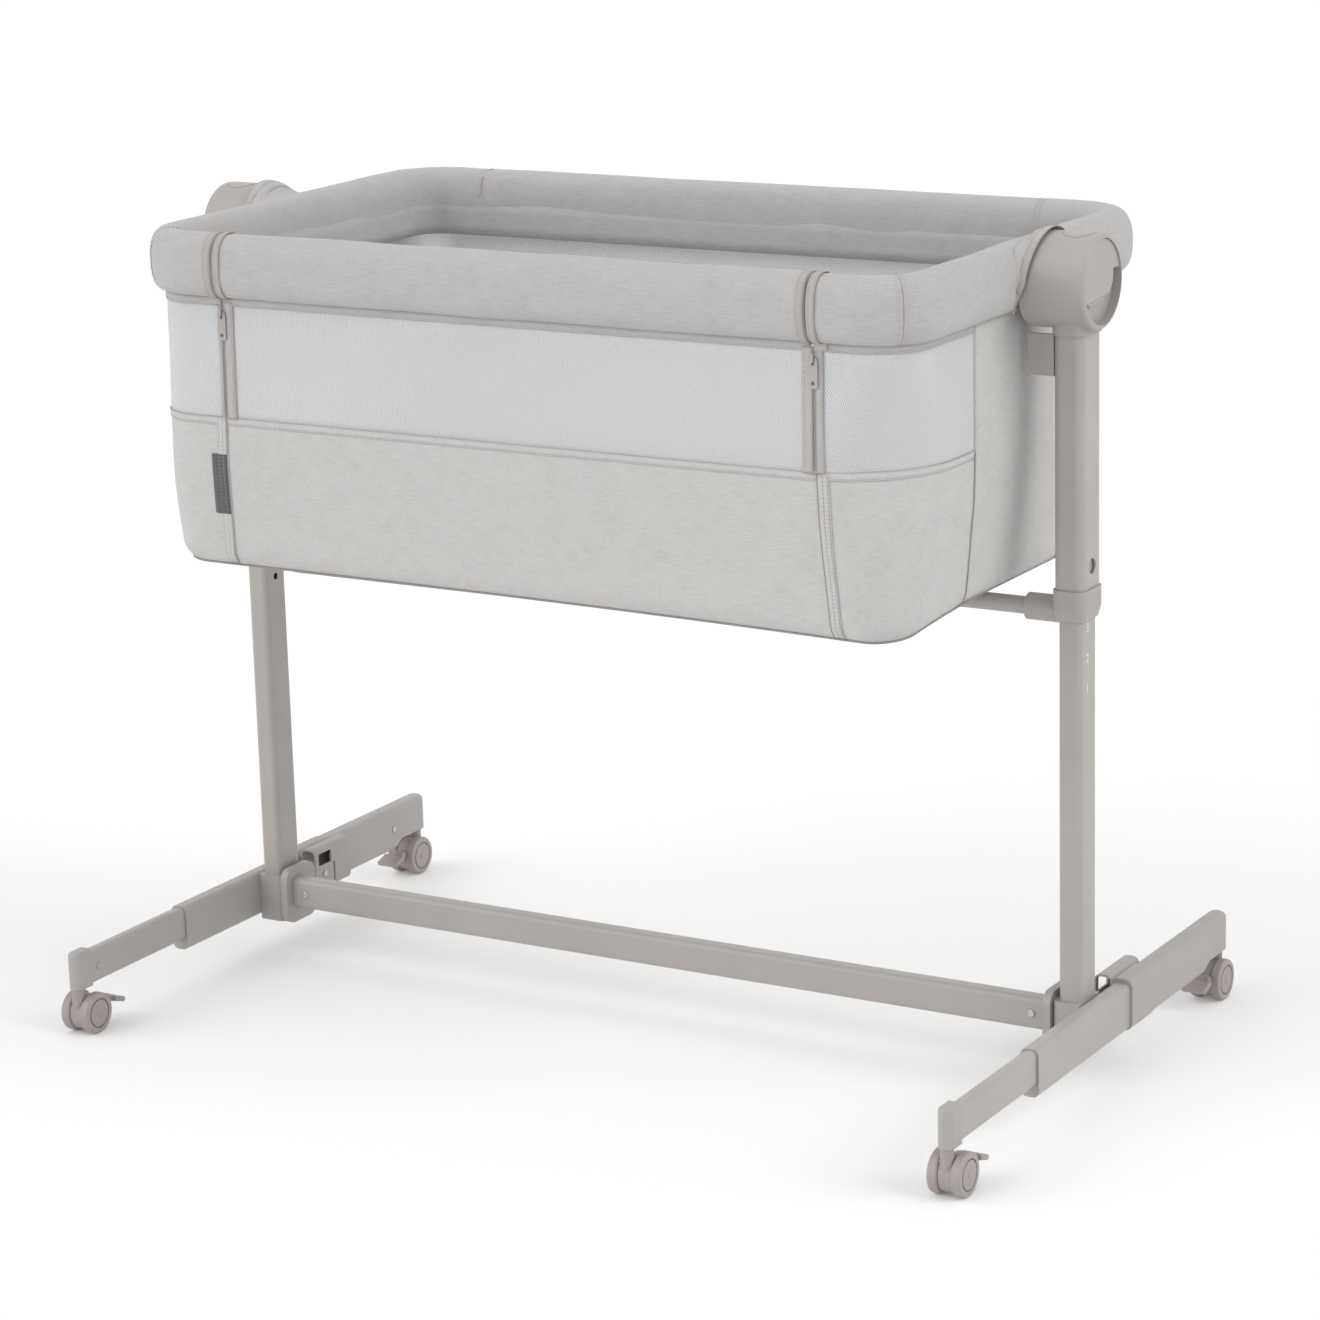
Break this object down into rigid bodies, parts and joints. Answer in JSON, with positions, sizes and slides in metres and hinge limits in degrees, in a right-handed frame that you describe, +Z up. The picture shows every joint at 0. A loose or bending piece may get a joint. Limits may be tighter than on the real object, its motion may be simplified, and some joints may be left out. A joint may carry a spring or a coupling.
{
  "type": "bedside sleeper crib",
  "caption": "Bedside crib: padded net and fabric basket with a drop side, on telescoping posts with height and tilt levels and wheeled feet.",
  "frame": {"origin": "on the floor below the middle of the crib's overall outline", "axes": "+X along the crib to its right-hand post, +Y from the drop side to the back, +Z up"},
  "size_m": [0.96, 0.6015, 0.7809],
  "materials": {
    "frame_paint": "satin powder coat, warm taupe grey",
    "taupe_plastic": "fine matt moulded plastic, warm taupe grey",
    "wheel_plastic": "matt moulded plastic, warm taupe grey",
    "melange_fabric": "light warm grey melange weave with fine slubs",
    "padded_fabric": "light warm grey melange weave over wadding",
    "net_fabric": "near-white net",
    "mattress_cover": "white quilted cover",
    "base_board": "plain board inside the cover",
    "strip_plastic": "matt stiffening strip",
    "pin_steel": "bright zinc plated steel",
    "zip_metal": "light grey lacquered die-cast"
  },
  "bodies": {
    "stand": {"right_foot_tube": "frame_paint", "left_foot_tube": "frame_paint", "right_rear_leg": "taupe_plastic", "left_rear_leg": "taupe_plastic", "leg_liners": "taupe_plastic", "right_lower_post": "frame_paint", "left_lower_post": "frame_paint", "post_glides": "taupe_plastic", "post_bases": "taupe_plastic", "stretcher_brackets": "taupe_plastic", "cross_stretcher": "frame_paint", "stand_screws": "pin_steel"},
    "cradle": {"rim_frame": "frame_paint", "rim_padding": "padded_fabric", "basket_fabric": "melange_fabric", "floor_board": "base_board", "floor_strips": "strip_plastic", "mattress": "mattress_cover", "right_trunnion": "taupe_plastic", "left_trunnion": "taupe_plastic", "rail_seats": "taupe_plastic"},
    "cross_bar": {"cross_bar": "frame_paint"},
    "drop_side": {"drop_panel": "net_fabric", "drop_rail": "frame_paint", "drop_rail_noses": "taupe_plastic", "drop_rail_padding": "padded_fabric"},
    "left_slider": {"left_outer_post": "frame_paint", "left_collar": "taupe_plastic", "left_hub_housing": "taupe_plastic", "left_pivot_pin": "pin_steel", "left_hub_cover": "taupe_plastic"},
    "left_front_leg": {"left_front_leg": "frame_paint", "left_front_cap": "taupe_plastic"},
    "left_release_handle": {"left_release_handle": "taupe_plastic"},
    "left_hub_button": {"left_hub_button": "taupe_plastic"},
    "left_zip_slider": {"left_zip_slider": "zip_metal"},
    "left_zip_pull": {"left_zip_pull": "zip_metal"},
    "left_front_swivel": {"left_front_caster_housing": "wheel_plastic"},
    "left_front_wheels": {"left_front_caster_wheels": "wheel_plastic"},
    "left_front_pedal": {"left_front_caster_pedal": "wheel_plastic"},
    "left_rear_swivel": {"left_rear_caster_housing": "wheel_plastic"},
    "left_rear_wheels": {"left_rear_caster_wheels": "wheel_plastic"},
    "left_rear_pedal": {"left_rear_caster_pedal": "wheel_plastic"},
    "right_slider": {"right_outer_post": "frame_paint", "right_collar": "taupe_plastic", "right_hub_housing": "taupe_plastic", "right_pivot_pin": "pin_steel", "right_hub_cover": "taupe_plastic"},
    "right_front_leg": {"right_front_leg": "frame_paint", "right_front_cap": "taupe_plastic"},
    "right_release_handle": {"right_release_handle": "taupe_plastic"},
    "right_hub_button": {"right_hub_button": "taupe_plastic"},
    "right_zip_slider": {"right_zip_slider": "zip_metal"},
    "right_zip_pull": {"right_zip_pull": "zip_metal"},
    "right_front_swivel": {"right_front_caster_housing": "wheel_plastic"},
    "right_front_wheels": {"right_front_caster_wheels": "wheel_plastic"},
    "right_front_pedal": {"right_front_caster_pedal": "wheel_plastic"},
    "right_rear_swivel": {"right_rear_caster_housing": "wheel_plastic"},
    "right_rear_wheels": {"right_rear_caster_wheels": "wheel_plastic"},
    "right_rear_pedal": {"right_rear_caster_pedal": "wheel_plastic"}
  },
  "joints": [
    {"name": "lift", "type": "slide", "parent": "stand", "child": "right_slider", "axis": [0, 0, 1], "range_m": [-0.112, 0.028]},
    {"name": "tilt", "type": "hinge", "parent": "right_slider", "child": "cradle", "pos_m": [0.416, 0.018, 0.738], "axis": [0, -1, 0], "range_deg": [-1.93, 5.79]},
    {"name": "left_level", "type": "slide", "parent": "right_slider", "child": "left_slider", "axis": [0, 0, 1], "range_m": [-0.0842, 0.0282]},
    {"name": "cross_bar_swing", "type": "hinge", "parent": "right_slider", "child": "cross_bar", "pos_m": [0.416, 0.018, 0.442], "axis": [0, -1, 0], "range_deg": [-1.95, 5.8]},
    {"name": "drop", "type": "hinge", "parent": "cradle", "child": "drop_side", "pos_m": [0, -0.215, 0.6], "axis": [1, 0, 0], "range_deg": [0, 170]},
    {"name": "left_zip", "type": "slide", "parent": "cradle", "child": "left_zip_slider", "axis": [0, -0.0224, -0.9997], "range_m": [0, 0.094]},
    {"name": "left_pull_swing", "type": "hinge", "parent": "left_zip_slider", "child": "left_zip_pull", "pos_m": [-0.307, -0.21577, 0.6995], "axis": [-1, 0, 0], "range_deg": [0, 150]},
    {"name": "left_leg_slide", "type": "slide", "parent": "stand", "child": "left_front_leg", "axis": [0, 1, 0], "range_m": [0, 0.075]},
    {"name": "left_release", "type": "slide", "parent": "left_slider", "child": "left_release_handle", "axis": [0, 0, 1], "range_m": [0, 0.008], "stiffness_N_per_m": 600, "springref_m": -0.004},
    {"name": "left_button", "type": "slide", "parent": "left_slider", "child": "left_hub_button", "axis": [0, 0, -1], "range_m": [0, 0.003], "stiffness_N_per_m": 800, "springref_m": -0.002},
    {"name": "left_front_swivel_turn", "type": "hinge", "parent": "left_front_leg", "child": "left_front_swivel", "pos_m": [-0.464, -0.2915, 0.045], "axis": [0, 0, 1], "continuous": true},
    {"name": "left_front_wheel_spin", "type": "hinge", "parent": "left_front_swivel", "child": "left_front_wheels", "pos_m": [-0.464, -0.2805, 0.02], "axis": [1, 0, 0], "continuous": true},
    {"name": "left_front_brake", "type": "hinge", "parent": "left_front_swivel", "child": "left_front_pedal", "pos_m": [-0.464, -0.2559, 0.0255], "axis": [-1, 0, 0], "range_deg": [0, 15]},
    {"name": "left_rear_swivel_turn", "type": "hinge", "parent": "stand", "child": "left_rear_swivel", "pos_m": [-0.464, 0.2915, 0.045], "axis": [0, 0, 1], "continuous": true},
    {"name": "left_rear_wheel_spin", "type": "hinge", "parent": "left_rear_swivel", "child": "left_rear_wheels", "pos_m": [-0.464, 0.2805, 0.02], "axis": [1, 0, 0], "continuous": true},
    {"name": "left_rear_brake", "type": "hinge", "parent": "left_rear_swivel", "child": "left_rear_pedal", "pos_m": [-0.464, 0.2559, 0.0255], "axis": [1, 0, 0], "range_deg": [0, 15]},
    {"name": "right_zip", "type": "slide", "parent": "cradle", "child": "right_zip_slider", "axis": [0, -0.0224, -0.9997], "range_m": [0, 0.094]},
    {"name": "right_pull_swing", "type": "hinge", "parent": "right_zip_slider", "child": "right_zip_pull", "pos_m": [0.307, -0.21577, 0.6995], "axis": [-1, 0, 0], "range_deg": [0, 150]},
    {"name": "right_leg_slide", "type": "slide", "parent": "stand", "child": "right_front_leg", "axis": [0, 1, 0], "range_m": [0, 0.075]},
    {"name": "right_release", "type": "slide", "parent": "right_slider", "child": "right_release_handle", "axis": [0, 0, 1], "range_m": [0, 0.008], "stiffness_N_per_m": 600, "springref_m": -0.004},
    {"name": "right_button", "type": "slide", "parent": "right_slider", "child": "right_hub_button", "axis": [0, 0, -1], "range_m": [0, 0.003], "stiffness_N_per_m": 800, "springref_m": -0.002},
    {"name": "right_front_swivel_turn", "type": "hinge", "parent": "right_front_leg", "child": "right_front_swivel", "pos_m": [0.464, -0.2915, 0.045], "axis": [0, 0, 1], "continuous": true},
    {"name": "right_front_wheel_spin", "type": "hinge", "parent": "right_front_swivel", "child": "right_front_wheels", "pos_m": [0.464, -0.2805, 0.02], "axis": [1, 0, 0], "continuous": true},
    {"name": "right_front_brake", "type": "hinge", "parent": "right_front_swivel", "child": "right_front_pedal", "pos_m": [0.464, -0.2559, 0.0255], "axis": [-1, 0, 0], "range_deg": [0, 15]},
    {"name": "right_rear_swivel_turn", "type": "hinge", "parent": "stand", "child": "right_rear_swivel", "pos_m": [0.464, 0.2915, 0.045], "axis": [0, 0, 1], "continuous": true},
    {"name": "right_rear_wheel_spin", "type": "hinge", "parent": "right_rear_swivel", "child": "right_rear_wheels", "pos_m": [0.464, 0.2805, 0.02], "axis": [1, 0, 0], "continuous": true},
    {"name": "right_rear_brake", "type": "hinge", "parent": "right_rear_swivel", "child": "right_rear_pedal", "pos_m": [0.464, 0.2559, 0.0255], "axis": [1, 0, 0], "range_deg": [0, 15]}
  ],
  "couplings": [
    {"joint": "left_level", "follows": "tilt", "m_per_rad": -0.832},
    {"joint": "cross_bar_swing", "follows": "tilt", "ratio": 1}
  ]
}
